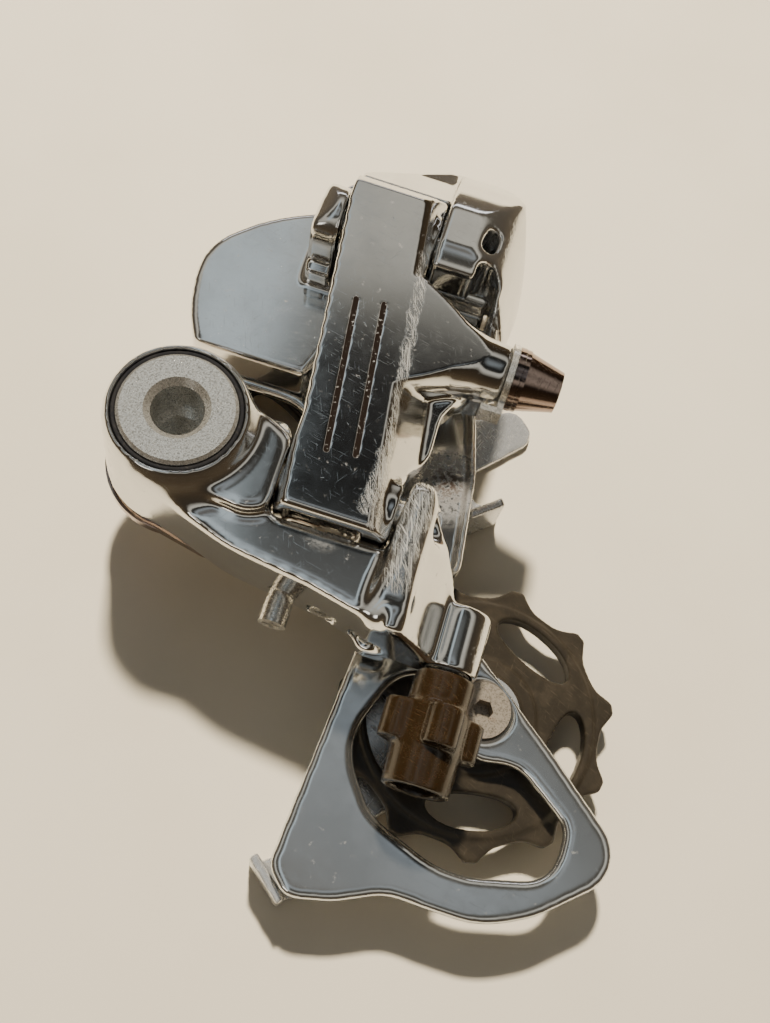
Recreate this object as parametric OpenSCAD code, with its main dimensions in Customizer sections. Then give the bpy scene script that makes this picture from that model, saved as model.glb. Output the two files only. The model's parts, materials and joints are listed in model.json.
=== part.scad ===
// Rear bicycle derailleur, short cage, for an 11-tooth jockey wheel pair.
// The origin is on the mounting bolt's axis, at the face that seats on the hanger.
// +Z is the bolt's axis and points outboard, +Y points to the front of the bicycle.

/* [Mounting bolt] */
// Thread diameter of the hanger bolt
thread_d = 10; // [9.8:0.1:10]
// Length of thread below the hanger face
thread_len = 9.5; // [8:0.5:11]
// Height of the upper knuckle above the hanger face
knuckle_h = 22; // [21:0.5:23]
// Diameter of the bolt's round head
head_d = 18; // [17:0.2:18.4]
// Key size across the flats of the bolt's socket
key_af = 6; // [5:0.5:6]

/* [Linkage] */
// Distance between a link's two pivots
link_len = 47; // [46:0.5:48]
// Height of the outer link's pivots above the hanger face
outer_pivot_z = 14.5; // [14:0.1:15]
// Height of the inner link's pivots above the hanger face
inner_pivot_z = 2; // [1.8:0.1:2.2]
// Diameter of the four pivot pins
pin_d = 5; // [4.6:0.1:5]
// Radial clearance of every running fit
run_gap = 0.05; // [0.02:0.01:0.1]

/* [Cage] */
// Centre of the cage pivot
cage_axis = [6, 34];
// Centre of the guide pulley
guide_c = [19, 30.5];
// Centre of the tension pulley
tension_c = [58, -22.5];
// Height of the outer plate's top face
plate_top = -4.8; // [-5:0.1:-4.6]
// Thickness of the outer plate
plate_t = 2.4; // [2:0.1:2.5]
// Thickness of the inner plate
inner_t = 1.8; // [1.6:0.1:2]

/* [Pulleys] */
// Number of teeth
teeth = 11; // [11:1:11]
// Radius of the tooth tips
tip_r = 23.1; // [22.8:0.1:23.4]
// Radius of the tooth roots
root_r = 20.6; // [20.4:0.1:20.8]
// Height of the pulleys' middle plane
pulley_z = -11.2; // [-11.3:0.1:-11.1]

/* [Cable adjuster] */
// Centre of the adjuster across and above the hanger face
adjuster_x = 50; // [50:0.1:50]
// Height of the adjuster's centre
adjuster_z = 5; // [5:0.1:5]
// Diameter of the brake-type housing end that it takes
housing_d = 5.2; // [5:0.1:5.4]

/* [Hidden] */
$fn = 48;

big = 200;
pin_r = pin_d / 2;
press_gap = 0.02;

// Pivots, as [y, z]: the pins run along X.
outer_rear = [-3, outer_pivot_z];
inner_rear = [-1, inner_pivot_z];
outer_front = [outer_rear.x + link_len, outer_pivot_z];
inner_front = [inner_rear.x + link_len, inner_pivot_z];
bush_r = pin_r + 0.8;

// Colours
alu = "#b9bec4";
alu_dark = "#8f969d";
steel = "#a7a9a8";
black = "#202124";
plastic_brown = "#5a3a1c";
pulley_grey = "#4c4840";

// The cage's layers
plate_bot = plate_top - plate_t;
inner_top = 2 * pulley_z - plate_bot;
inner_bot = inner_top - inner_t;

// ---- helpers ----------------------------------------------------------

function unit(v) = v / norm(v);

// One rounded corner at b, between its neighbours a and c; it takes at most half of either side
function corner(a, b, c, r_wanted, n) =
    let (u = unit(a - b), v = unit(c - b), half = acos(u * v) / 2)
    let (r = min(r_wanted, 0.49 * min(norm(a - b), norm(c - b)) * tan(half)))
    let (centre = b + unit(u + v) * r / sin(half))
    let (p = b + u * r / tan(half) - centre, q = b + v * r / tan(half) - centre)
    let (start = atan2(p.y, p.x), turn = (atan2(q.y, q.x) - start + 540) % 360 - 180)
    [for (i = [0:n]) centre + r * [cos(start + turn * i / n), sin(start + turn * i / n)]];

// A polygon whose corners are [x, y, radius]
function rounded(p, n = 6) =
    [for (i = [0:len(p) - 1])
        let (a = p[(i + len(p) - 1) % len(p)], b = p[i], c = p[(i + 1) % len(p)])
        each b[2] == 0 ? [[b.x, b.y]]
            : corner([a.x, a.y], [b.x, b.y], [c.x, c.y], b[2], n)];

module plate(points, z0, z1) {
    translate([0, 0, z0]) linear_extrude(z1 - z0) polygon(rounded(points));
}

// A free curve that follows a rough outline: every pass cuts all corners at a quarter of each side
function cut_corners(p, passes = 3) =
    passes == 0 ? p
        : cut_corners([for (i = [0:len(p) - 1])
            let (a = p[i], b = p[(i + 1) % len(p)])
            each [a * 0.75 + b * 0.25, a * 0.25 + b * 0.75]], passes - 1);

module free_plate(points, z0, z1) {
    translate([0, 0, z0]) linear_extrude(z1 - z0) polygon(cut_corners(points));
}

// Where a pivot at b goes, seen from a link that has swung by angle about a
function swung(a, b, angle) =
    let (d = b - a)
    a + [d.x * cos(angle) - d.y * sin(angle), d.x * sin(angle) + d.y * cos(angle)];

// A cylinder along X through the pivot [y, z]
module along_x(pivot, x0, x1, r) {
    translate([x0, pivot.x, pivot.y]) rotate([0, 90, 0]) cylinder(h = x1 - x0, r = r);
}

// A cylinder that runs from y0 towards the rear of the bicycle
module along_y(x, z, y0, y1, r, r2 = -1) {
    translate([x, y0, z]) rotate([90, 0, 0]) cylinder(h = y0 - y1, r1 = r, r2 = r2 < 0 ? r : r2);
}

// A profile [y, z] drawn along X from x0 to x1
module side_profile(points, x0, x1) {
    translate([x0, 0, 0]) rotate([90, 0, 90]) linear_extrude(x1 - x0) polygon(points);
}

// A profile [x, z] drawn along Y from y0 up to y1
module front_profile(points, y0, y1) {
    translate([0, y1, 0]) rotate([90, 0, 0]) linear_extrude(y1 - y0) polygon(points);
}

module hex_hole(af, depth) {
    cylinder(h = depth, r = af / sqrt(3), $fn = 6);
}

// A closed coil of round wire along Z, swept ring by ring
module coil(coil_r, wire_r, height, turns) {
    per_turn = 16;
    sides = 6;
    rings = per_turn * turns;
    points = [for (i = [0:rings], k = [0:sides - 1])
        let (a = 360 * i / per_turn, b = 360 * k / sides, r = coil_r + wire_r * cos(b))
        [r * cos(a), r * sin(a), height * i / rings + wire_r * sin(b)]];
    walls = [for (i = [0:rings - 1], k = [0:sides - 1])
        let (n = (k + 1) % sides)
        [i * sides + k, (i + 1) * sides + k, (i + 1) * sides + n, i * sides + n]];
    first = [for (k = [0:sides - 1]) k];
    last = [for (k = [sides - 1:-1:0]) rings * sides + k];
    polyhedron(points, concat([first], walls, [last]), convexity = 6);
}

// A small cross-head screw along Z, its head on top
module screw(thread_r, length, neck_r, neck_h) {
    difference() {
        union() {
            cylinder(h = neck_h, r = neck_r);
            translate([0, 0, -length]) cylinder(h = length + 0.01, r = thread_r);
        }
        for (a = [0, 90])
            rotate([0, 0, a]) translate([-neck_r * 0.65, -0.35, neck_h - 0.9]) cube([neck_r * 1.3, 0.7, 2]);
    }
}

// ---- mounting bolt and its seals --------------------------------------

bolt_r = 6;
head_t = 2.6;
module mounting_bolt() {
    color(steel) difference() {
        union() {
            translate([0, 0, -thread_len]) cylinder(h = thread_len + 0.01, r = thread_d / 2);
            cylinder(h = knuckle_h - head_t, r = bolt_r - 0.1);
            rotate_extrude() polygon([
                [0, knuckle_h - head_t - 0.6], [head_d / 2, knuckle_h - head_t - 0.6],
                [head_d / 2, knuckle_h - 0.9], [head_d / 2 - 0.5, knuckle_h - 0.4],
                [0, knuckle_h - 0.4]]);
        }
        // the wide mouth of the key socket, then the hexagon itself
        translate([0, 0, 12]) cylinder(h = 12, r = 4);
        translate([0, 0, knuckle_h - 1.4]) cylinder(h = 2, r1 = 4, r2 = 6);
        translate([0, 0, 5]) hex_hole(key_af, 8);
        // groove for the snap ring
        translate([0, 0, 2.1]) difference() {
            cylinder(h = 1.1, r = bolt_r + 1);
            translate([0, 0, -1]) cylinder(h = 4, r = bolt_r - 0.9);
        }
    }
}

module bolt_snap_ring() {
    color(steel) translate([0, 0, 2.2]) difference() {
        cylinder(h = 0.9, r = bolt_r + 0.7);
        translate([0, 0, -1]) cylinder(h = 3, r = bolt_r - 0.85);
        translate([-1.5, 0, -1]) cube([3, 20, 3]);
    }
}

module bolt_seal_ring() {
    color(black) translate([0, 0, knuckle_h - 1.4]) rotate_extrude()
        translate([head_d / 2 + 0.42, 0]) circle(r = 0.36, $fn = 24);
}

// The stop plate: a round foot with the tab that the body-angle screw pushes on
module stop_plate() {
    color(black) difference() {
        union() {
            cylinder(h = 1.8, r = 12.3);
            plate([[0, -10, 0], [6, -10, 0], [10, -11.5, 3], [24.8, -11.5, 0.8], [24.8, -13.3, 0.8],
                [8, -13.9, 4], [0, -12.2, 0]], 0, 1.8);
            plate([[20.4, -11.6, 0.5], [24.6, -11.6, 0.5], [24.6, -13.2, 0.5], [20.4, -13.2, 0.5]],
                0.4, 6.6);
        }
        translate([0, 0, -1]) cylinder(h = 4, r = bolt_r + 0.02);
    }
}

// ---- upper knuckle -----------------------------------------------------

// Where the outer link sits between the knuckle's two lugs, and how round the ear's front end is
ear_r = 6.2;
lug_left = 17.2;
lug_right = 35.6;
screw_z = 5.2;

module b_knuckle() {
    arm = [[-4, -11, 0], [3, -12.9, 4], [13, -16.4, 20], [26, -18.2, 20], [34, -20, 10],
        [40, -21, 1], [40, -9.5, 0], [lug_left, -9.5, 0], [lug_left, 3, 2], [15.2, 6, 1.6],
        [11.4, 4.2, 3], [8.5, 7.2, 2], [-4, 6, 0]];
    shoulder = [[-2, -9, 0], [8, -10.4, 5], [14, -11, 4], [lug_left, -9.5, 2],
        [lug_left, 2.4, 2], [13, 4.6, 2], [8.5, 4, 3], [-2, 2, 0]];
    ear = [[34.4, -21.2, 2], [lug_right, -9.5, 4], [lug_right, -4, 5], [36.6, 2.8, 1.6],
        [39.6, 2.8, 2], [41.7, -3.5, 5], [41.7, -12, 8], [41.2, -21.4, 2]];
    flank = [[38, -21.4, 0], [46, -21.5, 1], [47.6, -20.8, 1], [48.4, -12, 2], [46.8, -7.6, 2],
        [41.6, 0, 1.5], [38, 0, 0]];
    color(alu) difference() {
        union() {
            // round boss on the mounting axis
            rotate_extrude() polygon([[0, 2.2], [11.9, 2.2], [12, 3.2], [11.1, 20.4], [10.4, 21.6],
                [9.9, knuckle_h], [0, knuckle_h]]);
            plate(arm, 2.6, 17);
            // the boss flares into the arm
            intersection() {
                plate(arm, 12, 21);
                rotate_extrude() polygon([[0, 13], [17, 13], [16.4, 16.2], [14.2, 17.3],
                    [12.6, 18.6], [11.4, 20.4], [0, 20.4]]);
            }
            plate(shoulder, 10, 19);
            // the ear's crown is round across and falls away at both ends
            intersection() {
                plate(ear, -1.2, 19.8);
                front_profile([[33.6, -2], [33.6, 15.6], [35.2, 18], [36.6, 19.3], [38.2, 19.8],
                    [39.8, 19.5], [41, 18.4], [41.8, 16], [42, -2]], -30, 10);
                side_profile(concat([[-22, -2], [-22, 14], [-20.4, 16.8], [-17, 18.8], [-12, 19.8]],
                    [for (a = [60:-15:-60]) outer_rear + ear_r * [cos(a), sin(a)]],
                    [for (a = [30:-15:-60]) inner_rear + 4.4 * [cos(a), sin(a)]]), 30, 50);
            }
            // sloping flank from the ear down to the adjuster boss
            intersection() {
                plate(flank, 0, 19);
                front_profile(cut_corners([[36, 2], [36, 17], [40, 19], [43, 14.6], [46.6, 8.6],
                    [52, 6], [52, 2]]), -24, 2);
            }
            plate([[12.8, -6, 0], [lug_left, -6, 0], [lug_left, 3, 2], [13, 3, 2]], -1.2, 4);
            along_y(adjuster_x, adjuster_z, -11.2, -21.6, 4.7);
            front_profile([[44, 8], [adjuster_x, 9], [adjuster_x, 1.6], [44, 2.6]], -21.6, -12.5);
        }
        // bore and spring chamber round the bolt
        translate([0, 0, 1]) cylinder(h = knuckle_h, r = bush_out + press_gap);
        translate([0, 0, 1]) cylinder(h = 13.4, r = 9.6);
        translate([0, 0, knuckle_h - head_t - 0.7]) cylinder(h = 6, r = head_d / 2 + 0.85);
        // room for the two links between the lugs
        translate([lug_left, -9.5, -5]) cube([lug_right - lug_left, 30, 40]);
        translate([41.9, -6.6, -5]) cube([20, 30, 12]);
        // pin holes, screw holes and the adjuster's thread
        along_x(outer_rear, 12.6, big, pin_r + press_gap);
        along_x(inner_rear, 12.6, big, pin_r + press_gap);
        along_y(22.3, screw_z, -8, -24, 2.05);
        for (x = [29.2, 36.6]) {
            along_y(x, screw_z, -8, -24, 1.6);
            along_y(x, screw_z, -15.8, -26, 2.4);
        }
        along_y(adjuster_x, adjuster_z, 0, -30, 2.55);
        // the tab of the stop plate swings in this pocket
        plate([[19.2, -8, 0], [28.4, -8, 0], [28.4, -14.8, 2], [19.2, -14.8, 1.5]], -5, 13);
    }
}

bush_out = 7;
module knuckle_bush() {
    color("#8d7442") difference() {
        translate([0, 0, 3.4]) cylinder(h = knuckle_h - head_t - 0.7 - 3.5, r = bush_out);
        cylinder(h = 40, r = bolt_r - 0.1 + run_gap);
    }
}

module knuckle_spring() {
    color(alu_dark) translate([0, 0, 4.4]) coil(8.3, 0.85, 8.8, 4);
}

module outer_pin_rear() {
    color(steel) along_x(outer_rear, 13.2, 41, pin_r);
}

module inner_pin_rear() {
    color(steel) along_x(inner_rear, 13.2, 41, pin_r);
}

module link_return_spring() {
    color(alu_dark) translate([25, inner_rear.x, inner_rear.y]) rotate([0, 90, 0])
        coil(3.5, 0.6, 5.4, 4);
}

// The three adjusting screws; each stands along Y with its head to the rear
module rear_screw(x, tip_y, head_y, thread_r, head_r, head_h) {
    color(steel) translate([x, head_y, screw_z]) rotate([90, 0, 0])
        screw(thread_r, tip_y - head_y, head_r, head_h);
}

module b_tension_screw() {
    rear_screw(22.3, -13.9, -18.6, 2, 2.2, 3.8);
}

module limit_screw_high() {
    rear_screw(36.6, -10.4, -17, 1.55, 2.2, 2.4);
}

module limit_screw_low() {
    rear_screw(29.2, -10.4, -15.9, 1.55, 2.2, 2.4);
}

// ---- cable adjuster ----------------------------------------------------

module adjuster_barrel() {
    color(steel) difference() {
        union() {
            along_y(adjuster_x, adjuster_z, -12.5, -24.6, 2.5);
            along_y(adjuster_x, adjuster_z, -24.6, -38, 3.6);
        }
        along_y(adjuster_x, adjuster_z, 0, -40, 0.9);
        along_y(adjuster_x, adjuster_z, -27, -40, housing_d / 2);
    }
}

module adjuster_grip() {
    lobe_r = 2.7;
    color(plastic_brown) translate([adjuster_x, 0, adjuster_z]) rotate([90, 0, 0]) difference() {
        union() {
            translate([0, 0, 22]) cylinder(h = 5, r = 4.7);
            translate([0, 0, 26.6]) cylinder(h = 0.9, r1 = 4.7, r2 = 5.4);
            translate([0, 0, 27.4]) linear_extrude(6.2) {
                circle(r = 5.4);
                for (a = [78:90:348])
                    rotate(a) translate([5.3, 0]) circle(r = lobe_r);
            }
            translate([0, 0, 33]) cylinder(h = 6.8, r1 = 5.5, r2 = 5.2);
        }
        translate([0, 0, 20]) cylinder(h = 4.61, r = 4);
        translate([0, 0, 24.6]) cylinder(h = 20, r = 3.6 + press_gap);
    }
}

module adjuster_spring() {
    color(alu_dark) translate([adjuster_x, -22, adjuster_z]) rotate([90, 0, 0])
        coil(3.2, 0.3, 2.1, 3);
}

// ---- outer link --------------------------------------------------------

link_top = 21.6;
link_end_r = 8.1;
anchor = [24.4, 16.6];

module outer_link_blank() {
    // The link's outline from above, narrower to the front
    outline = [[17.5, -9.1, 0.8], [35.2, -9.1, 0.8], [35.2, 3.4, 2], [37.6, 7.5, 5], [37.4, 15, 6],
        [39.5, 19.2, 3], [45, 19.6, 0.4], [45, 29.2, 0.4], [39.5, 30.2, 4], [31.6, 32.4, 4],
        [28.3, 34.8, 1.4], [28.3, 54, 1], [12.8, 54, 1], [12.8, 45, 2], [17.5, 5.6, 8]];
    // Seen from the side: round about both pivots, flat on top
    side = concat(
        [[-9.1, 17.4], [-9.1, link_top - 0.6], [-8.5, link_top], [48, link_top]],
        [for (a = [60:-12:-60])
            [outer_front.x + link_end_r * cos(a), outer_front.y + link_end_r * sin(a)]],
        [[40, 7.5], [34, 9.5], [0, 9.6], [outer_rear.x, outer_rear.y - 6.2]],
        [for (a = [255:-12:160])
            [outer_rear.x + 6.2 * cos(a), outer_rear.y + 6.2 * sin(a)]]);
    // Seen from the end: a flat top, a slanted left edge and a sloping right flank
    section = [[-2, 5], [0.6, 18], [1.8, link_top], [14.6, link_top], [15.6, link_top - 0.6],
        [21, 15.2], [30, 15.2], [30, 5]];
    intersection() {
        plate(outline, 4, link_top);
        side_profile(side, 0, 60);
        union() {
            translate([17.2, -9.6, 0]) rotate([0, 0, 7.2])
                front_profile(section, -8, 70);
            anchor_arm();
        }
    }
}

// The tapering arm that carries the cable anchor
module anchor_arm() {
    translate([26, anchor.x, anchor.y]) rotate([0, 90, 0]) rotate_extrude()
        polygon([[0, 0], [11, 0], [10.6, 3], [8.6, 7], [6.4, 11], [5.1, 15], [4.7, 19], [0, 19]]);
}

module outer_link() {
    color(alu) difference() {
        union() {
            difference() {
                outer_link_blank();
                // the channel beneath
                plate([[20, -14, 1], [31, -14, 1], [30, 4, 2], [28.7, 14, 3], [27.4, 30, 3],
                    [26.4, 40, 2], [26.4, 60, 1], [15.2, 60, 1], [15.2, 44, 2]],
                    0, link_top - 2.6);
                plate([[26, 2, 1], [32.6, 2, 1], [34, 8, 2], [33.4, 16, 3], [30.6, 30, 3], [26, 34, 1]],
                    0, 14);
            }
            intersection() {
                union() {
                    along_x(outer_rear, 17.5, 35.2, bush_r + 2.1);
                    along_x(outer_front, 12.9, 28.4, bush_r + 2.1);
                    translate([17.5, outer_rear.x - 3, outer_rear.y]) cube([17.7, 6, 5]);
                    translate([12.9, outer_front.x - 3, outer_front.y]) cube([15.5, 6, 5]);
                }
                translate([0, -20, 0]) cube([60, 80, link_top]);
            }
        }
        along_x(outer_rear, 10, 40, bush_r + press_gap);
        along_x(outer_front, 10, 40, bush_r + press_gap);
        along_x(anchor, 36, 60, 2.55);
        // the ear and the inner link's rear pivot pass here as the link swings
        along_x(outer_rear, 35.25, 42.2, ear_r + 0.35);
        for (a = [0:8:40])
            along_x(swung(outer_rear, inner_rear, a), 10, 42.2, 5.4);
        // a plain engraved panel line on the top face
        for (x = [-2.2, 2.2])
            translate([23.4, 12, link_top - 0.25]) rotate([0, 0, 7.2])
                translate([x - 0.3, -11, 0]) cube([0.6, 26, 1]);
    }
}

module bush_along(pivot, x0, x1) {
    difference() {
        along_x(pivot, x0, x1, bush_r);
        along_x(pivot, x0 - 1, x1 + 1, pin_r + run_gap);
    }
}

module outer_link_bushes() {
    color("#8d7442") {
        bush_along(outer_rear, 17.6, 35.1);
        bush_along(outer_front, 13, 28.3);
    }
}

module anchor_tab_plate() {
    color(steel) difference() {
        union() {
            along_x(anchor, 45.1, 46.1, 5.3);
            translate([45.1, anchor.x - 7.4, anchor.y - 2.4]) cube([1, 4, 3.6]);
            translate([42.6, anchor.x - 7.4, anchor.y - 2.4]) cube([3.5, 1, 3.6]);
        }
        along_x(anchor, 40, 60, 2.6);
    }
}

module anchor_washer() {
    color(black) difference() {
        along_x(anchor, 46.2, 47.2, 5.1);
        along_x(anchor, 40, 60, 2.6);
    }
}

module anchor_bolt() {
    color(steel) translate([0, anchor.x, anchor.y]) rotate([0, 90, 0]) difference() {
        union() {
            translate([0, 0, 36.5]) cylinder(h = 12, r = 2.5);
            translate([0, 0, 47.3]) cylinder(h = 0.7, r = 5);
            translate([0, 0, 48]) cylinder(h = 5.8, r1 = 4.8, r2 = 3.3);
        }
        translate([0, 0, 50.6]) hex_hole(4, 5);
    }
}

// ---- inner link --------------------------------------------------------

module inner_link() {
    web = [[19.4, 2, 1], [41.9, 2, 0], [41.9, -5.4, 1], [47.9, -5.4, 1.5], [46, 12, 10],
        [43.4, 22, 8], [39.6, 29.6, 3], [39.6, 45, 0], [19.4, 45, 0]];
    color(alu) difference() {
        union() {
            plate(web, inner_pivot_z - 1.6, inner_pivot_z + 0.8);
            // raised lip along the outer edge
            intersection() {
                difference() {
                    plate(web, inner_pivot_z - 1.6, inner_pivot_z + 2.2);
                    translate([-1.1, 0, 0]) plate(web, -5, 10);
                }
                translate([40, -20, -5]) cube([20, 70, 20]);
            }
            along_x(inner_rear, 19.4, 23.8, bush_r + 1);
            along_x(inner_rear, 31.6, 35.2, bush_r + 1);
            along_x(inner_front, 19.4, 39.6, bush_r + 0.9);
        }
        // the strip that passes outside the lug is round about the pivot
        difference() {
            translate([41.8, -12, -6]) cube([10, 11, 20]);
            along_x(inner_rear, 40, 60, 4.4);
        }
        along_x(inner_rear, 10, 39, bush_r + press_gap);
        along_x(inner_front, 10, 42, bush_r + press_gap);
        // room for the return spring, and a lightening slot
        translate([23.8, -8, -6]) cube([7.8, 12.6, 20]);
        plate([[26, 12, 2], [35, 12, 2], [34, 33, 2], [26, 33, 2]], -5, 10);
        // clears the lug
        translate([35.2, -12, -6]) cube([6.9, 15.8, 20]);
    }
}

module inner_link_bushes() {
    color("#8d7442") {
        bush_along(inner_rear, 19.5, 23.7);
        bush_along(inner_rear, 31.7, 35.1);
        bush_along(inner_front, 19.5, 39.5);
    }
}

// ---- lower knuckle -----------------------------------------------------

spring_room_r = 9.7;
module p_knuckle() {
    housing = [[-4.6, 20], [-5.4, 20], [-8.6, 27], [-9.8, 38], [-2, 46.5], [8, 52], [20, 56],
        [20, 52], [20, 38], [17.2, 34], [15.8, 25], [14, 20], [13, 20]];
    body = [[9.4, 36.5], [8, 36.5], [8.2, 48], [11.6, 54.5], [21, 60.5], [32, 66.5], [37, 64.5],
        [42.4, 52], [45, 43], [44.4, 34], [42.8, 30], [41.4, 30], [40.2, 30], [40.2, 36.5],
        [38, 36.5], [20, 36.5]];
    color(alu) difference() {
        union() {
            free_plate(housing, plate_top + 1.3, 5);
            intersection() {
                free_plate(body, -2.4, 21.4);
                // falls away to the front, and towards the open end of the right wall
                side_profile(cut_corners([[26, -3], [26, 3], [31, 11], [36, 18], [41, 21.6],
                    [47, 22.2], [54, 19.4], [60, 14.5], [65.4, 8], [66.6, -3], [50, -3]]), 0, 60);
                front_profile(cut_corners([[2, -3], [0, 10], [9, 19], [14, 21.6], [26, 21.8], [35, 21.8],
                    [41, 18], [45.4, 8], [45, -3], [20, -3]]), 10, 70);
            }
        }
        // pocket for the front end of the outer link
        difference() {
            translate([12.6, 20, inner_pivot_z + 4.4]) cube([16.1, 33.2, 40]);
            translate([12, outer_front.x + link_end_r - 0.7, 0]) cube([18, 6, 8.4]);
        }
        // the wall in front of the link is lower than the humps beside it
        side_profile([[52.6, 30], [52.6, 16], [60, 11.6], [70, 8], [70, 30]], 12.4, 28.7);
        // the right hump is round about the link's pivot, so that the link's flank clears it
        difference() {
            translate([28.4, 26, 9]) cube([11.9, outer_front.x - 26, 20]);
            along_x(outer_front, 20, 50, 8.4);
        }
        // room for the inner link, which swings up towards the rear
        side_profile(concat([[20, -6], [inner_front.x, -2.3]],
            [for (a = [-90:15:90]) inner_front + 4.5 * [cos(a), sin(a)]],
            [[41.4, 9.6], [38, 12.4], [38, 40], [20, 40]]), 19.1, 40.2);
        // the left lug is round about the pivot
        difference() {
            translate([0, 26, 9.5]) cube([12.7, 50, 20]);
            along_x(outer_front, 0, 20, 5.6);
            translate([0, outer_front.x - 5.6, 0]) cube([20, 11.2, outer_pivot_z]);
            translate([0, outer_front.x, 0]) cube([20, 20, 12.6]);
        }
        // the hollow between the right lug and the outer wall, and the hole behind the staked pin
        plate([[35.8, 28, 0], [40.2, 28, 0], [40.2, 39, 2], [38, 41.6, 2], [35.8, 40.6, 1]], 0, 40);
        plate([[35.2, 43.2, 1], [37.6, 42.8, 1], [38.2, 46.8, 1], [36, 48, 1]], 11, 40);
        // pin holes
        along_x(outer_front, 9.6, 37.6, pin_r + press_gap);
        along_x(inner_front, 14.6, 43, pin_r + press_gap);
        // spring chamber round the axle's boss
        difference() {
            translate([cage_axis.x, cage_axis.y, -20]) cylinder(h = 23.2, r = spring_room_r);
            translate([cage_axis.x, cage_axis.y, -20]) cylinder(h = 40, r = 6.3);
        }
        translate([cage_axis.x, cage_axis.y, -20]) cylinder(h = 23.2, r = 4 + run_gap);
        // groove for the seal
        translate([cage_axis.x, cage_axis.y, plate_top + 1.2]) difference() {
            cylinder(h = 0.9, r = 12.6);
            translate([0, 0, -1]) cylinder(h = 3, r = 10.7);
        }
    }
}

module p_knuckle_seal() {
    color(black) translate([cage_axis.x, cage_axis.y, plate_top + 0.35]) difference() {
        cylinder(h = 1.6, r = 12.5);
        translate([0, 0, -1]) cylinder(h = 4, r = 10.8);
    }
}

module cage_spring() {
    color(alu_dark) translate([cage_axis.x, cage_axis.y, -2.6]) coil(8, 0.8, 4.6, 3);
}

module outer_pin_front() {
    color(steel) along_x(outer_front, 9.8, 35.4, pin_r);
}

module inner_pin_front() {
    color(steel) along_x(inner_front, 14.8, 42.8, pin_r);
}

// ---- cage --------------------------------------------------------------

cage_outline = [
    [32.8, -55, 3], [36.6, -58.8, 3.4], [43.8, -57.2, 12], [51, -53.9, 9], [66, -54.4, 26],
    [74, -50.4, 14], [87, -39.4, 6.4], [70.6, -25.5, 30], [57, -14.8, 14], [48, -7, 12],
    [40, 13, 16], [30, 25, 9], [27.6, 38.5, 6.5], [17, 47.8, 9], [0, 49, 11], [-8.6, 34, 9],
    [-3, 19.4, 6], [12.6, 19.4, 8], [26, 12, 12], [33.4, -1, 20], [35.6, -18.5, 30]];
cage_opening = [
    [43.4, -21.4, 6], [38.6, -34, 10], [45.6, -43.4, 9], [59.4, -48.6, 18], [75, -44.8, 7],
    [75.4, -36.2, 3.6], [65.6, -29.2, 6], [57.6, -31, 8], [51.4, -24.6, 6], [50.8, -18.6, 4.4]];

module bolt_hole(c, r) {
    translate([c.x, c.y, -40]) cylinder(h = 80, r = r);
}

module cage_plate_outer() {
    color(alu) difference() {
        plate(cage_outline, plate_bot, plate_top);
        plate(cage_opening, -40, 0);
        bolt_hole(cage_axis, 4.02);
        for (c = [guide_c, tension_c]) {
            bolt_hole(c, 2.55);
            translate([c.x, c.y, plate_top - 1.5]) cylinder(h = 3, r = 4.7);
        }
        translate([stop_pin.x, stop_pin.y, -20]) cylinder(h = 40, r = 1.2 + press_gap);
    }
}

tab_thick = 1.6;
module cage_plate_inner() {
    outline = [[13, 21, 7], [10.4, 34, 6], [18, 42.4, 7], [30, 41.4, 6], [43.6, 30.5, 10], [50.6, 36.8, 2.8],
        [55, 33.4, 2.8], [54.8, 30.4, 2.4], [46, 20.8, 3], [47.4, 16.4, 3], [53.4, 15.6, 0.8],
        [52.4, 13, 0.8], [46, 8, 4], [47, -4, 10], [57, -12.2, 8], [66.8, -17, 7], [68.4, -26.8, 7],
        [60, -33, 8], [50.6, -38.6, 8], [43.4, -46, 6], [39.4, -57, 2], [36.6, -58.8, 1.6],
        [32.8, -55, 1.6], [35.2, -40, 12], [36.4, -18.5, 20], [33.4, -1, 14]];
    color(alu_dark) difference() {
        union() {
            plate(outline, inner_bot, inner_top);
            // bent-up tab that keeps the chain from falling off the guide pulley
            translate([50, 12.1, inner_bot]) rotate([0, 0, 40]) translate([-3.4, -tab_thick / 2, 0])
                cube([6.8, tab_thick, 10.5]);
            // bent-up tab at the cage's lower corner
            translate([33.6, -56, inner_bot]) rotate([0, 0, -40]) translate([-3.9, -1.5, 0])
                cube([8.2, tab_thick, 9.4]);
            plate([[30.6, -54.6, 0], [36.2, -59.4, 0], [38, -57, 0], [34, -52, 0]],
                inner_bot, inner_top);
        }
        plate([[41.6, -14, 3], [43.6, 2, 3], [33, 14, 4], [27.6, 17.6, 3], [38.4, -4, 6], [39.4, -14, 3]],
            -40, 0);
        for (c = [guide_c, tension_c])
            bolt_hole(c, 2.52);
    }
}

module cage_axle() {
    color(steel) translate([cage_axis.x, cage_axis.y, 0]) difference() {
        union() {
            translate([0, 0, plate_bot]) cylinder(h = 3 - plate_bot, r = 4);
            translate([0, 0, plate_bot - 1.3]) cylinder(h = 1.3, r = 5.4);
        }
        translate([0, 0, plate_bot - 2]) hex_hole(5, 4.5);
    }
}

// The stop pin meets the lower knuckle's housing where the cage rests
stop_angle = -52;
stop_pin = cage_axis + 16.3 * [cos(stop_angle), sin(stop_angle)];
module cage_stop_pin() {
    color(steel) translate([stop_pin.x, stop_pin.y, plate_bot]) cylinder(h = 4.5, r = 1.2);
}

// ---- pulleys -----------------------------------------------------------

tooth_t = 2.3;
rim_t = 3.4;
step_t = 4.6;
hub_t = 6.6;
hub_r = 7.2;

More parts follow.
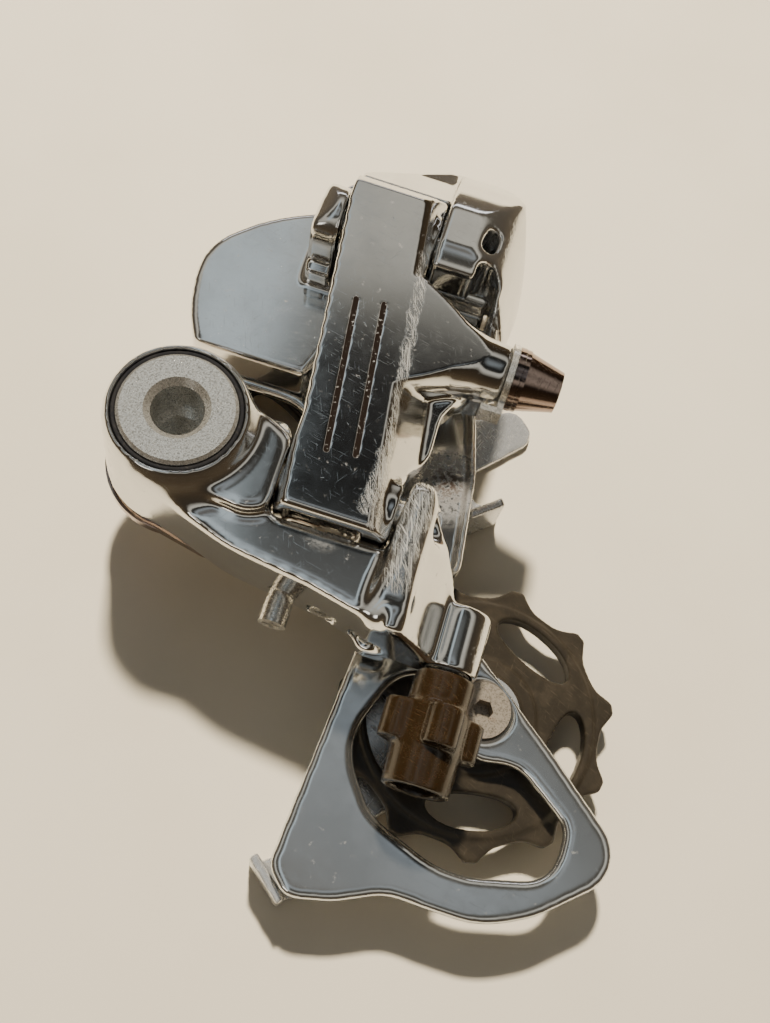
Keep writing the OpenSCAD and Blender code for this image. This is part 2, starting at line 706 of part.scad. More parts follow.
module pulley_outline(first) {
    step = 360 / teeth;
    polygon([for (k = [0:teeth - 1], p = [[root_r, -15], [root_r + 0.15, -11], [root_r + 0.6, -8],
        [root_r + 1.4, -5.4], [tip_r - 0.3, -3.2], [tip_r, -2.4], [tip_r, 2.4], [tip_r - 0.3, 3.2],
        [root_r + 1.4, 5.4], [root_r + 0.6, 8], [root_r + 0.15, 11], [root_r, 15]])
        p[0] * [cos(first + k * step + p[1]), sin(first + k * step + p[1])]]);
}

module pulley(c, first, bore) {
    windows = 5;
    rim_r = root_r - 1.2;
    translate([c.x, c.y, pulley_z]) difference() {
        union() {
            translate([0, 0, -tooth_t / 2]) linear_extrude(tooth_t) pulley_outline(first);
            translate([0, 0, -rim_t / 2]) cylinder(h = rim_t, r = rim_r);
            translate([0, 0, -step_t / 2]) cylinder(h = step_t, r = hub_r + 2.4);
            translate([0, 0, -hub_t / 2]) cylinder(h = hub_t, r = hub_r);
        }
        translate([0, 0, -20]) cylinder(h = 40, r = bore);
        for (k = [0:windows - 1])
            rotate([0, 0, first + 11.4 + k * 360 / windows]) translate([15.2, 0, -20])
                linear_extrude(40) polygon(cut_corners([[-2.9, -3], [-2.9, 3], [-1.6, 7.4],
                    [0.8, 7.4], [3, 3.4], [3, -3.4], [0.8, -7.4], [-1.6, -7.4]], 2));
    }
}

module guide_pulley() {
    color(pulley_grey) pulley(guide_c, 12, 4 + run_gap);
}

module tension_pulley() {
    color(pulley_grey) pulley(tension_c, 53.6, 6.2 + press_gap);
}

module pulley_bolt(c) {
    translate([c.x, c.y, 0]) difference() {
        union() {
            translate([0, 0, inner_bot]) cylinder(h = plate_top - inner_bot - 1.4, r = 2.5);
            translate([0, 0, plate_top - 1.45]) cylinder(h = 1.6, r = 4.55);
        }
        translate([0, 0, plate_top - 2.6]) hex_hole(3, 4);
    }
}

module guide_bolt() {
    color(steel) pulley_bolt(guide_c);
}

module tension_bolt() {
    color("#b0a48c") pulley_bolt(tension_c);
}

// A tube round a pulley bolt
module ring(c, r_in, r_out, z0, z1) {
    translate([c.x, c.y, z0]) difference() {
        cylinder(h = z1 - z0, r = r_out);
        translate([0, 0, -1]) cylinder(h = z1 - z0 + 2, r = r_in);
    }
}

cap_t = 0.5;
module caps(c) {
    ring(c, 2.55, 6.6, plate_bot - cap_t - 0.02, plate_bot - 0.02);
    ring(c, 2.55, 6.6, inner_top + 0.02, inner_top + cap_t + 0.02);
}

module guide_bush() {
    color("#d8d2c4") ring(guide_c, 2.55, 4, inner_top + cap_t + 0.04, plate_bot - cap_t - 0.04);
}

module guide_caps() {
    color(alu) caps(guide_c);
}

module tension_caps() {
    color(alu) caps(tension_c);
}

module tension_race_inner() {
    color(steel) ring(tension_c, 2.55, 3.6, inner_top + cap_t + 0.04, plate_bot - cap_t - 0.04);
}

module tension_race_outer() {
    color(steel) ring(tension_c, 5.2, 6.2, pulley_z - 2, pulley_z + 2);
}

module tension_balls() {
    color(steel) for (k = [0:6])
        translate([tension_c.x + 4.4 * cos(k * 360 / 7), tension_c.y + 4.4 * sin(k * 360 / 7), pulley_z])
            sphere(r = 0.72, $fn = 24);
}

// ---- nodes -------------------------------------------------------------

mounting_bolt();
stop_plate();
bolt_snap_ring();
bolt_seal_ring();
b_knuckle();
knuckle_bush();
knuckle_spring();
outer_pin_rear();
inner_pin_rear();
link_return_spring();
b_tension_screw();
limit_screw_high();
limit_screw_low();
adjuster_barrel();
adjuster_grip();
adjuster_spring();
outer_link();
outer_link_bushes();
anchor_bolt();
anchor_washer();
anchor_tab_plate();
inner_link();
inner_link_bushes();
p_knuckle();
p_knuckle_seal();
cage_spring();
outer_pin_front();
inner_pin_front();
cage_plate_outer();
cage_plate_inner();
cage_axle();
cage_stop_pin();
guide_bolt();
guide_bush();
guide_caps();
guide_pulley();
tension_bolt();
tension_race_inner();
tension_caps();
tension_pulley();
tension_race_outer();
tension_balls();
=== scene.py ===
# %% [markdown]
# # A rear derailleur, polished and well used
#
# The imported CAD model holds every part's shape, place and motion. This lesson gives it its
# looks: the castings get the rounded edges that polishing leaves, and each finish is built
# from nodes. First the frame is loaded, and the box that the CAD fills is kept for later.

# %% Load the frame
import json
import math

import bmesh
import bpy
from mathutils import Matrix, Vector
from mathutils.bvhtree import BVHTree


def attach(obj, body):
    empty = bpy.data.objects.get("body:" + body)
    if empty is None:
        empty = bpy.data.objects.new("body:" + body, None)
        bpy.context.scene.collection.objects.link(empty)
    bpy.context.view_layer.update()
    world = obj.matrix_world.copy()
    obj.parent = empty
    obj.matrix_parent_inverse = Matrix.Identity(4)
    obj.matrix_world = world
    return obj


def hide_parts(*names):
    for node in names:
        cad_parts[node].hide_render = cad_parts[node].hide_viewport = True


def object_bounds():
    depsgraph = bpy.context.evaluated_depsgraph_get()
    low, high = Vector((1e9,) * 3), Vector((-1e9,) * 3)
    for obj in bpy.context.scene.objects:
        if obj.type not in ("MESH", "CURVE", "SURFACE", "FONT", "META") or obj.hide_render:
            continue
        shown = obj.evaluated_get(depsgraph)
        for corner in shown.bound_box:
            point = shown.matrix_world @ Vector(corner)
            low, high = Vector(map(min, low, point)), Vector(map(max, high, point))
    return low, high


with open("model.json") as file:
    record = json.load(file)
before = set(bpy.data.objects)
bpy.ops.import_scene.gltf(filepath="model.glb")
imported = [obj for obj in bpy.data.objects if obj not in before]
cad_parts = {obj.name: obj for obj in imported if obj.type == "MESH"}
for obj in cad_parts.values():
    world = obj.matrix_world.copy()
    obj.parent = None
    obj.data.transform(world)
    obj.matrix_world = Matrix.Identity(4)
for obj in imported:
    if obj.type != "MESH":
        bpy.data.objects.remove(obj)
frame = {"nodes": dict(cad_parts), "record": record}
cad_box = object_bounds()
scene = bpy.context.scene
nodes = frame["nodes"]
record = frame["record"]
body_of = {n: body for body, members in record["behaviour"]["bodies"].items() for n in members}
slot_of = {part["node"]: part["material_slot"] for part in record["subparts"]}
MM = 0.001
print("CAD box", [list(corner) for corner in cad_box])

# %% [markdown]
# ## The camera
#
# The part lies with its outboard side up, and the viewer stands at its rear edge and looks
# steeply down. The camera's three directions are given as a matrix, because the view is
# also rolled a little: the mounting bolt comes out at the upper left.

# %% Camera
LENS = 42.2
EYE = Vector((33.54, -70.54, 182.02)) * MM
RIGHT = Vector((0.953, 0.2812, 0.1136))
UP = Vector((-0.3033, 0.8836, 0.357))
back = RIGHT.cross(UP)

camera_data = bpy.data.cameras.new("camera")
camera_data.lens = LENS
camera_data.clip_start = 0.01
camera = bpy.data.objects.new("camera", camera_data)
scene.collection.objects.link(camera)
turn = Matrix((RIGHT, UP, back)).transposed()
camera.matrix_world = Matrix.Translation(EYE) @ turn.to_4x4()
scene.camera = camera
print("camera at", tuple(round(v, 3) for v in camera.location))

# %% [markdown]
# ## Table and light
#
# Polished metal shows its surroundings more than itself, so the surroundings matter as much
# as the finish. The table is a warm, pale cream that fills every steep face. The key lamp is
# small and stands high at the far side, for a crisp shadow, and it is left out of mirrors,
# where it would be a hard white dot. Two dim windows add soft glints.


# %% A helper that adds one object
def add_object(name, data):
    made = bpy.data.objects.new(name, data)
    scene.collection.objects.link(made)
    return made


print("object helper ready")

# %% Table
TABLE_SIZE = 3.0
floor_z = cad_box[0][2]
bm = bmesh.new()
bmesh.ops.create_grid(bm, x_segments=2, y_segments=2, size=TABLE_SIZE / 2)
bmesh.ops.translate(bm, verts=bm.verts, vec=(0, 0, floor_z))
table_mesh = bpy.data.meshes.new("table")
bm.to_mesh(table_mesh)
bm.free()
table = add_object("table", table_mesh)
print("table at", round(floor_z, 4))


# %% Lamps
AIM = Vector((0.03, 0, 0))


def area_lamp(name, direction, distance, size, watts, colour, mirrored=True):
    """A rectangular lamp aimed at the part; one that isn't mirrored leaves no glint in metal."""
    data = bpy.data.lights.new(name, "AREA")
    data.shape = "RECTANGLE"
    data.size, data.size_y = size
    data.energy = watts
    data.color = colour
    lamp = add_object(name, data)
    away = Vector(direction).normalized()
    lamp.location = AIM + away * distance
    lamp.rotation_euler = away.to_track_quat("Z", "Y").to_euler()
    lamp.visible_glossy = mirrored


area_lamp("key_lamp", (-0.16, 0.50, 0.85), distance=0.9, size=(0.06, 0.06), watts=23.0,
          colour=(1.0, 0.90, 0.73), mirrored=False)
area_lamp("far_window", (-0.25, 0.95, 0.42), distance=1.2, size=(0.9, 0.16), watts=0.9,
          colour=(0.97, 0.97, 1.0))
area_lamp("near_window", (-0.35, -0.75, 0.62), distance=1.2, size=(0.35, 0.22), watts=0.5,
          colour=(1.0, 0.95, 0.86))

# %% [markdown]
# ## Shader maths as Python
#
# A finish is mostly arithmetic on noise. `Value` wraps one socket, so that `1 - mask * 0.5`
# adds the Math nodes it needs, and `Finish.node` adds any other node: its type, its
# settings, then its inputs.


# %% Wrapped sockets
class Value:
    """One output socket of a finish, with arithmetic."""

    def __init__(self, finish, socket):
        self.finish = finish
        self.socket = socket

    def maths(self, operation, a, b=0.0, clamp=False):
        settings = {"operation": operation, "use_clamp": clamp}
        return self.finish.node("ShaderNodeMath", settings, {0: a, 1: b})

    def __add__(self, other):
        return self.maths("ADD", self, other)

    def __sub__(self, other):
        return self.maths("SUBTRACT", self, other)

    def __rsub__(self, other):
        return self.maths("SUBTRACT", other, self)

    def __mul__(self, other):
        return self.maths("MULTIPLY", self, other)

    def at_most(self, other):
        return self.maths("MINIMUM", self, other)

    def at_least(self, other):
        return self.maths("MAXIMUM", self, other)

    def ramp(self, low, high, out_low=0.0, out_high=1.0):
        """A smooth step from low to high."""
        inputs = {"Value": self, "From Min": low, "From Max": high, "To Min": out_low, "To Max": out_high}
        return self.finish.node("ShaderNodeMapRange", {"interpolation_type": "SMOOTHSTEP"}, inputs)

    __radd__ = __add__
    __rmul__ = __mul__


class Finish:
    """A material under construction: a Principled shader and the nodes that feed it."""

    def __init__(self, name, **constants):
        self.material = bpy.data.materials.new(name)
        self.material.use_nodes = True
        self.tree = self.material.node_tree
        self.shader = self.tree.nodes["Principled BSDF"]
        self.place = self.node("ShaderNodeTexCoord", {}, {}, "Object")
        for socket, value in constants.items():
            self.shader.inputs[socket.replace("_", " ")].default_value = value

    def node(self, kind, settings, inputs, output=0):
        made = self.tree.nodes.new(kind)
        for key, value in settings.items():
            setattr(made, key, value)
        for key, value in inputs.items():
            self.feed(made.inputs[key], value)
        return Value(self, made.outputs[output])

    def feed(self, socket, value):
        if isinstance(value, Value):
            self.tree.links.new(value.socket, socket)
        else:
            socket.default_value = value

    def noise(self, size_mm, detail=3.0, rough=0.55, shift=0.0):
        """Noise whose blotches are about size_mm across; another shift gives another pattern."""
        scale = 1 / (size_mm * MM)
        moved = self.node("ShaderNodeMapping", {}, {
            "Vector": self.place, "Scale": (scale, scale, scale),
            "Location": (shift, shift * 0.7, -shift)})
        return self.node("ShaderNodeTexNoise", {}, {
            "Vector": moved, "Scale": 1.0, "Detail": detail, "Roughness": rough}, "Fac")

    def mix(self, amount, a, b):
        """Colour a where amount is 0, and b where it is 1."""
        return self.node("ShaderNodeMix", {"data_type": "RGBA"}, {0: amount, 6: a, 7: b}, 2)

    def scratches(self, spacing_mm, angle, length=14.0, shift=0.0, keep=0.66):
        """Fine lines along one direction in the part's plane, broken up along their length."""
        turned = self.node("ShaderNodeMapping", {}, {
            "Vector": self.place, "Rotation": (0.35, 0.25, math.radians(angle)),
            "Location": (shift, shift, shift)})
        scale = (1 / (spacing_mm * length * MM), 1 / (spacing_mm * MM), 1 / (spacing_mm * length * MM))
        drawn = self.node("ShaderNodeMapping", {}, {"Vector": turned, "Scale": scale})
        lines = self.node("ShaderNodeTexNoise", {}, {"Vector": drawn, "Scale": 1.0, "Detail": 1.0}, "Fac")
        return lines.ramp(keep, keep + 0.07)

    def near_line(self, start, end, width_mm):
        """1 on the line from start to end, falling to 0 at width_mm from it; points in millimetres."""
        a = Vector(start) * MM
        along = Vector(end) * MM - a
        vector = "ShaderNodeVectorMath"
        offset = self.node(vector, {"operation": "SUBTRACT"}, {0: self.place, 1: tuple(a)})
        dot = self.node(vector, {"operation": "DOT_PRODUCT"}, {0: offset, 1: tuple(along)}, "Value")
        t = dot.maths("MULTIPLY", dot, 1 / along.length_squared, clamp=True)
        step = self.node(vector, {"operation": "SCALE"}, {0: tuple(along), "Scale": t})
        apart = self.node(vector, {"operation": "DISTANCE"}, {0: offset, 1: step}, "Value")
        return apart.ramp(width_mm * MM, 0.0)

    def bump(self, height, depth_mm):
        inputs = {"Height": height, "Distance": depth_mm * MM, "Strength": 1.0}
        return self.node("ShaderNodeBump", {}, inputs)

    def done(self, **sockets):
        for socket, value in sockets.items():
            self.feed(self.shader.inputs[socket.replace("_", " ")], value)
        return self.material


print("shader helpers ready")

# %% [markdown]
# ## Polished aluminium
#
# The castings are forged aluminium, polished by hand. New, they are mirrors; after years of
# riding they carry a haze of hairline scratches in every direction, dull finger marks, and
# grey scuffs on the ridges that hit the ground. The scratches are stretched noise at
# several angles. The scuffs follow lines given in millimetres, broken up by noise, and brown
# shade is painted round given points, in hollows and under the outer link. Two engraved
# lines are filled with dark lacquer.


# %% The polished finish
SCUFFED_METAL = (0.74, 0.72, 0.67, 1)
# Brown for random dirt, and for the shade painted round given points
BROWN_DIRT_AND_SHADE = (0.045, 0.024, 0.013, 1)
DARK_LACQUER = (0.010, 0.006, 0.004, 1)


def darker(tint, share):
    """The colour tint, each part of it times share, with an alpha of 1."""
    return tuple(c * share for c in tint) + (1,)


def polished(name, tint=(0.80, 0.80, 0.79), scuffs=(), shade_spots=(), grooves=(), haze=0.5, milky=0.08):
    """Polished casting. A milky one has so many hairlines that part of its light is diffuse.

    scuffs: (start, end, width); spots of painted brown shade: (centre, radius); grooves: (start, end); in
    millimetres.
    """
    f = Finish(name, Metallic=1.0)
    blotch = f.noise(9.0, detail=4.0)
    smear = f.noise(2.2, detail=5.0, shift=3.0)
    hairs = f.scratches(0.10, 12, 30.0, 0.0, 0.69)
    hairs = hairs.at_least(f.scratches(0.12, 74, 26.0, 2.0, 0.71))
    hairs = hairs.at_least(f.scratches(0.14, 128, 22.0, 5.0, 0.72))
    nicks = f.scratches(0.26, 50, 9.0, 9.0, 0.77).at_least(f.scratches(0.3, 160, 7.0, 4.0, 0.78))
    edge = f.node("ShaderNodeNewGeometry", {}, {}, "Pointiness").ramp(0.53, 0.60)
    worn = edge * f.noise(0.7, detail=4.0).ramp(0.45, 0.6) * 0.5
    for start, end, width in scuffs:
        band = f.near_line(start, end, width) + (f.noise(2.4, detail=4.0, shift=width) - 0.5) * 1.3
        crumbs = f.noise(0.30, detail=6.0, rough=0.8, shift=width).ramp(0.52, 0.62)
        drags = f.scratches(0.10, 80, 30.0, width, 0.56)
        drags = drags.at_least(f.scratches(0.13, 52, 20.0, width + 3, 0.58))
        worn = worn.at_least(band.ramp(0.30, 0.75) * (crumbs * 0.6).at_least(drags))
    # Random brown dirt over the whole casting
    dirt_and_shade = f.noise(1.3, detail=5.0, rough=0.7, shift=1.5).ramp(0.62, 0.74) * 0.25
    # Brown shade painted round each given point, in hollows and under the outer link, broken up by noise
    for centre, radius in shade_spots:
        just_beside = (centre[0] + 0.01, centre[1], centre[2])
        shade_spread = f.near_line(centre, just_beside, radius)
        dirt_and_shade = dirt_and_shade.at_least(shade_spread * f.noise(0.9, detail=6.0, rough=0.75).ramp(0.36, 0.55))
    tone = f.mix(blotch.ramp(0.35, 0.7), (*tint, 1), darker(tint, 0.9))
    tone = f.mix(worn * 0.7, tone, SCUFFED_METAL)
    # Dirt and painted shade darken the tone to brown
    tone = f.mix(dirt_and_shade, tone, BROWN_DIRT_AND_SHADE)
    for start, end in grooves:
        lacquer = f.near_line(start, end, 0.9).ramp(0.42, 0.52) * f.noise(0.6, detail=4.0).ramp(0.25, 0.42)
        tone = f.mix(lacquer, tone, DARK_LACQUER)
        dirt_and_shade = dirt_and_shade.at_least(lacquer)
    rough = 0.09 + smear.ramp(0.4, 0.75) * 0.05 * haze + blotch.ramp(0.4, 0.8) * 0.08 * haze
    rough = rough + hairs * 0.05 + worn * 0.30 + nicks * 0.15 + dirt_and_shade * 0.5
    pits = f.noise(0.35, detail=4.0, rough=0.8, shift=7.0) * worn
    relief = f.bump(hairs * -0.12 - nicks * 0.6 + pits * -1.2 + worn * -0.5, 0.01)
    metal = (1.0 - milky - worn * 0.35) * (1.0 - dirt_and_shade * 0.9)
    return f.done(Base_Color=tone, Roughness=rough.at_most(0.75), Metallic=metal, Normal=relief)


print("polished finish ready")

# %% Where the castings are worn, and where shade is painted on them
LINK_SCUFFS = [((32.6, -8, 20.8), (27.4, 38, 21.4), 1.9), ((31, -6, 21), (31.4, 6, 21), 2.6)]
LINK_GROOVES = [((22.6, 0.81, 21.5), (19.34, 26.6, 21.5)), ((26.96, 1.36, 21.5), (23.7, 27.16, 21.5))]
EAR_SCUFFS = [((38.3, 1.5, 19), (38.0, -14, 19.6), 4.6)]
# Brown shade is painted round these points: the upper knuckle's shoulder, the lower knuckle's hollows, and
# the inner link under the outer one
SHOULDER_SHADE = [((26, -9.5, 14), 5.0)]
HOLLOW_SHADE = [((38, 37, 6), 9.0), ((37, 45.4, 17), 3.2), ((30, 36, 8), 6.0)]
LINK_SHADE = [((42, 10, 2), 9.0)]
finishes = {
    "b_knuckle": polished("polished_upper_knuckle", scuffs=EAR_SCUFFS, shade_spots=SHOULDER_SHADE, milky=0.01),
    "outer_link": polished("polished_outer_link", scuffs=LINK_SCUFFS, grooves=LINK_GROOVES, milky=0.0),
    "inner_link": polished("polished_inner_link", shade_spots=LINK_SHADE, milky=0.02),
    "p_knuckle": polished("polished_lower_knuckle", shade_spots=HOLLOW_SHADE, milky=0.03),
    "cage_plate_outer": polished(
        "polished_cage_plate", tint=(0.77, 0.79, 0.80), haze=1.3, milky=0.04),
}
print("polished finishes", len(finishes))

# %% [markdown]
# ## Plated steel, springs and bearings
#
# Bolts are plated steel: brighter and yellower than the castings, with a fine speckle where
# the plating has pitted and rust starting in the corners. One function makes them all; its
# numbers say how dark, how rough and how rusty.


# %% Steel
def plated(name, tint, rough, speckle, rust, dark=(0.12, 0.07, 0.035), milky=0.1):
    """Plated steel; speckle and rust go from 0 to 1, and dark is the colour of the rust."""
    f = Finish(name, Metallic=1.0)
    grains = f.noise(0.28, detail=4.0, rough=0.75)
    patches = f.noise(2.6, detail=6.0, rough=0.7, shift=4.0)
    rusty = (patches.ramp(0.66 - rust * 0.25, 0.74) * grains.ramp(0.4, 0.6)).at_most(1.0) * rust * 2.0
    rusty = rusty.at_most(1.0)
    tone = f.mix(grains.ramp(0.48, 0.62) * speckle, (*tint, 1), darker(tint, 0.45))
    pocks = f.noise(0.6, detail=5.0, rough=0.8, shift=8.0).ramp(0.55, 0.62) * speckle
    tone = f.mix(pocks * 0.7, tone, darker(tint, 0.30))
    tone = f.mix(rusty, tone, (*dark, 1))
    hairs = f.scratches(0.12, 30, 20.0).at_least(f.scratches(0.15, 110, 16.0, 3.0))
    roughness = rough + grains.ramp(0.4, 0.7) * 0.16 * speckle + hairs * 0.08 + rusty * 0.45
    relief = f.bump(grains * speckle * 0.7 + hairs * -0.3, 0.02)
    metal = (1.0 - milky) * (1.0 - rusty * 0.85)
    return f.done(Base_Color=tone, Roughness=roughness, Metallic=metal, Normal=relief)


print("steel finish ready")

# %% Each steel of the part
slot_finish = {
    "steel": plated(
        "plated_steel", (0.90, 0.88, 0.83), rough=0.22, speckle=0.9, rust=0.15, milky=0.14),
    "dark_steel": plated(
        "dark_plated_steel", (0.36, 0.28, 0.25), rough=0.10, speckle=0.3, rust=0.1, milky=0.0),
    "tarnished_steel": plated(
        "tarnished_steel", (0.46, 0.40, 0.33), rough=0.36, speckle=0.9, rust=0.5,
        dark=(0.13, 0.065, 0.03), milky=0.4),
    "spring_steel": plated(
        "oiled_spring_steel", (0.32, 0.32, 0.33), rough=0.3, speckle=0.6, rust=0.3),
    "satin_aluminium": plated(
        "satin_aluminium", (0.72, 0.73, 0.74), rough=0.22, speckle=0.35, rust=0.35,
        dark=(0.22, 0.14, 0.08), milky=0.25),
    "bronze": plated("bearing_bronze", (0.56, 0.42, 0.22), rough=0.3, speckle=0.5, rust=0.1),
}
print("steel finishes", len(slot_finish))

# %% [markdown]
# ## Plastic, rubber and ceramic
#
# The adjuster's grip is an amber-brown plastic that lets a little light in. The pulleys are
# a grey-brown plastic, rubbed shiny by the chain and dusty everywhere else.


# %% Moulded materials
def moulded(name, tint, dust, rough, dusty, grain, **constants):
    """Moulded plastic or rubber; dusty says how much of it the dust covers."""
    f = Finish(name, **constants)
    fine = f.noise(0.3, detail=5.0, rough=0.7)
    cloud = f.noise(3.5, detail=5.0, shift=2.0)
    powder = (cloud.ramp(0.4, 0.7) * 0.6 + fine.ramp(0.45, 0.75) * 0.5).at_most(1.0) * dusty
    hairs = f.scratches(0.18, 25, 14.0).at_least(f.scratches(0.2, 95, 12.0, 3.0, 0.69))
    tone = f.mix(powder, (*tint, 1), (*dust, 1))
    tone = f.mix(hairs * 0.35, tone, tuple(min(c * 1.6, 1.0) for c in dust) + (1,))
    roughness = rough + powder * 0.3 - hairs * 0.05
    relief = f.bump(fine * grain + hairs * -0.35, 0.03)
    return f.done(Base_Color=tone, Roughness=roughness, Normal=relief)


print("moulded finish ready")

# %% Each plastic, the rubber and the ceramic
slot_finish["brown_plastic"] = moulded(
    "amber_brown_plastic", (0.016, 0.009, 0.0035), (0.048, 0.029, 0.015), rough=0.24, dusty=0.25,
    grain=0.35, Subsurface_Weight=0.08, Subsurface_Radius=(0.0012, 0.0005, 0.0002), Coat_Weight=0.25)
slot_finish["pulley_plastic"] = moulded(
    "grey_brown_plastic", (0.022, 0.018, 0.013), (0.060, 0.048, 0.034), rough=0.36, dusty=0.5, grain=0.5)
slot_finish["black_rubber"] = moulded(
    "black_rubber", (0.012, 0.012, 0.014), (0.05, 0.045, 0.04), rough=0.4, dusty=0.3, grain=0.4)
slot_finish["ceramic"] = moulded(
    "white_ceramic", (0.8, 0.77, 0.7), (0.6, 0.55, 0.45), rough=0.25, dusty=0.3, grain=0.2)
print("finishes by slot", sorted(slot_finish))


# %% Paint the CAD nodes
def finish_of(node):
    return finishes.get(node) or slot_finish[slot_of[node]]


for name, part in nodes.items():
    part.data.materials.clear()
    part.data.materials.append(finish_of(name))
print("painted", len(nodes))

# %% [markdown]
# ## Rounding the castings
#
# A polished forging has no sharp edge. A bevel would have to survive every corner where
# bores and pockets meet, so each casting is rebuilt instead: a copy is remeshed in small
# cubes, which joins everything into one skin, and smoothed. Smoothing also ripples the flat
# faces, which a mirror finish would show, so vertices that are still next to a wide flat
# face are put back on it.


# %% Copy, remesh, smooth
def merged_copy(node):
    """A bmesh of a CAD node with its loose triangles joined."""
    bm = bmesh.new()
    bm.from_mesh(nodes[node].data)
    bmesh.ops.remove_doubles(bm, verts=bm.verts, dist=1e-6)
    return bm


def remeshed(name, bm, voxel_mm):
    """A new object whose skin is bm's, rebuilt in cubes."""
    mesh = bpy.data.meshes.new(name)
    bm.to_mesh(mesh)
    made = add_object(name, mesh)
    cubes = made.modifiers.new("cubes", "REMESH")
    cubes.mode = "VOXEL"
    cubes.voxel_size = voxel_mm * MM
    graph = bpy.context.evaluated_depsgraph_get()
    skin = bpy.data.meshes.new_from_object(made.evaluated_get(graph))
    made.modifiers.clear()
    made.data = skin
    bpy.data.meshes.remove(mesh)
    return made


def flat_faces(bm, least_width_mm=0.9):
    """A search tree over bm, and the faces in it that are wide and flat."""
    bmesh.ops.dissolve_limit(bm, angle_limit=math.radians(0.2), verts=bm.verts, edges=bm.edges)
    bm.faces.ensure_lookup_table()
    wide = set()
    for face in bm.faces:
        if face.calc_area() / max(face.calc_perimeter(), 1e-9) > least_width_mm * MM / 2:
            wide.add(face.index)
    return BVHTree.FromBMesh(bm), wide


def settle(bm, tree, wide, reach_mm):
    """Puts each vertex that is close to a wide flat face back on it."""
    for vert in bm.verts:
        point, normal, index, apart = tree.find_nearest(vert.co)
        if index in wide and apart < reach_mm * MM:
            pull = 1 - (apart / (reach_mm * MM)) ** 2
            vert.co = vert.co.lerp(point, pull)


def dress(made, node):
    """Gives a new piece its node's finish, place in the tree and shading."""
    made.data.materials.clear()
    made.data.materials.append(finish_of(node))
    made.data.shade_smooth()
    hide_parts(node)
    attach(made, body_of[node])
    return made


def soften(node, voxel_mm, passes, settle_mm):
    source = merged_copy(node)
    made = remeshed(node + "_skin", source, voxel_mm)
    tree, wide = flat_faces(source)
    bm = bmesh.new()
    bm.from_mesh(made.data)
    for _ in range(passes):
        bmesh.ops.smooth_vert(
            bm, verts=bm.verts, factor=0.5, use_axis_x=True, use_axis_y=True, use_axis_z=True)
    settle(bm, tree, wide, settle_mm)
    bm.to_mesh(made.data)
    print(node, "skin", len(bm.faces), "faces")
    bm.free()
    source.free()
    return dress(made, node)


print("rounding helpers ready")

# %% Castings, plates and mouldings
# A finer cube keeps more shape, and more passes round it more; the reach is how far a flat
# face still pulls a vertex back. The tuples are (cube in mm, passes, reach in mm).
SKINS = {
    "b_knuckle": (0.40, 18, 0.05), "outer_link": (0.36, 6, 0.12), "p_knuckle": (0.36, 10, 0.08),
    "inner_link": (0.36, 4, 0.12), "cage_plate_outer": (0.34, 22, 0.05), "cage_plate_inner": (0.38, 5, 0.1),
    "adjuster_grip": (0.26, 12, 0.04), "guide_pulley": (0.34, 5, 0.1), "tension_pulley": (0.32, 5, 0.1),
}
for name, (voxel, passes, reach) in SKINS.items():
    soften(name, voxel, passes, reach)

# %% [markdown]
# ## The table's finish
#
# The table is painted board: cream, slightly uneven, without gloss.

# %% Table finish
cream = Finish("cream_table", Roughness=0.75)
mottled = cream.noise(60.0, detail=4.0).ramp(0.35, 0.7)
table_tone = cream.mix(mottled, (0.68, 0.62, 0.51, 1), (0.64, 0.58, 0.47, 1))
table.data.materials.append(cream.done(Base_Color=table_tone))
print("table painted")

# %% [markdown]
# ## The room
#
# A flat polished face mirrors one small piece of the room, so the room is drawn in bands of
# height: dim warm walls, a bright strip high on the far wall that the tilted tops catch, a
# dark gap, and a greyer ceiling. A cool skylight on the left is mixed over them, only where
# a direction points steeply up.

# %% Helpers for the room's nodes
world = bpy.data.worlds.new("room")
scene.world = world
world.use_nodes = True
room = world.node_tree


def room_node(kind, inputs, **settings):
    """Adds a node to the room; an input is a number, a colour or another node's output."""
    made = room.nodes.new(kind)
    for key, value in settings.items():
        setattr(made, key, value)
    for key, value in inputs.items():
        if isinstance(value, bpy.types.NodeSocket):
            room.links.new(value, made.inputs[key])
        else:
            made.inputs[key].default_value = value
    return made


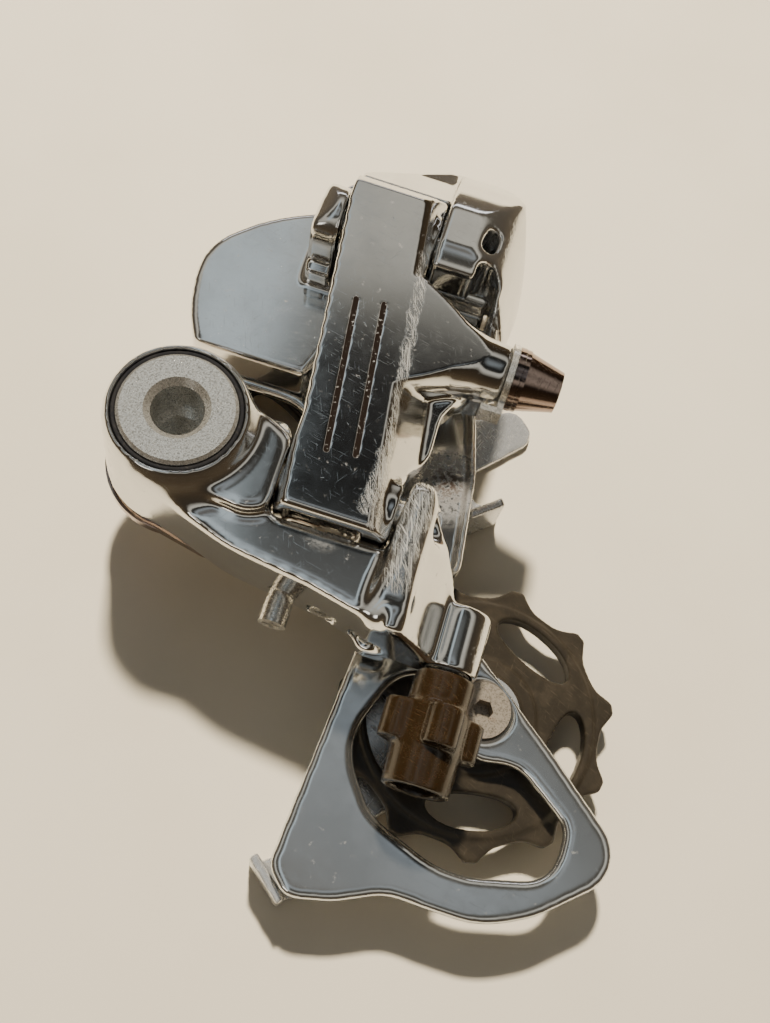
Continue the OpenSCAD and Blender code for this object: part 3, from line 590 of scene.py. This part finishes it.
def colour_ramp(value, stops):
    """Colours over value; stops are (position, colour) from the lowest to the highest."""
    made = room_node("ShaderNodeValToRGB", {"Fac": value})
    elements = made.color_ramp.elements
    elements[0].position, elements[-1].position = stops[0][0], stops[-1][0]
    elements[0].color = (*stops[0][1], 1)
    elements[-1].color = (*stops[-1][1], 1)
    for position, colour in stops[1:-1]:
        elements.new(position).color = (*colour, 1)
    return made.outputs["Color"]


print("room helpers ready")

# %% Bands of height, and the skylight
SKYLIGHT = (0.50, 0.58, 0.62, 1)
BLACK, WHITE = (0, 0, 0), (1, 1, 1)
HEIGHT_BANDS = [
    (0.0, (0.11, 0.078, 0.045)), (0.30, (0.055, 0.038, 0.022)), (0.62, (0.03, 0.022, 0.014)),
    (0.775, (0.55, 0.52, 0.45)), (0.835, (0.50, 0.48, 0.42)), (0.865, (0.030, 0.028, 0.026)),
    (0.925, (0.012, 0.012, 0.011)), (0.955, (0.10, 0.105, 0.105)), (0.98, (0.26, 0.29, 0.31)),
    (0.992, (0.20, 0.215, 0.225)), (1.0, (0.105, 0.10, 0.092))]
LEFT_BAND = [(0.22, BLACK), (0.28, WHITE), (0.355, WHITE), (0.40, BLACK)]
LEFT_SHIFT = 0.5    # a ramp starts at 0, and the band lies at negative X

direction = room_node("ShaderNodeTexCoord", {}).outputs["Generated"]
split = room_node("ShaderNodeSeparateXYZ", {0: direction})
bands = colour_ramp(split.outputs["Z"], HEIGHT_BANDS)
shifted = room_node("ShaderNodeMath", {0: split.outputs["X"], 1: LEFT_SHIFT}, operation="ADD")
left = colour_ramp(shifted.outputs[0], LEFT_BAND)
steep = room_node("ShaderNodeMapRange", {"Value": split.outputs["Z"], "From Min": 0.74, "From Max": 0.80})
amount = room_node("ShaderNodeMath", {0: left, 1: steep.outputs["Result"]}, operation="MULTIPLY")
# Inputs 0, 6 and 7 of a colour mix are its factor and its two colours
sky = room_node("ShaderNodeMix", {}, data_type="RGBA")
room.links.new(amount.outputs[0], sky.inputs[0])
room.links.new(bands, sky.inputs[6])
sky.inputs[7].default_value = SKYLIGHT
room.links.new(sky.outputs[2], room.nodes["Background"].inputs["Color"])
room.nodes["Background"].inputs["Strength"].default_value = 1.0
print("room nodes", len(room.nodes))
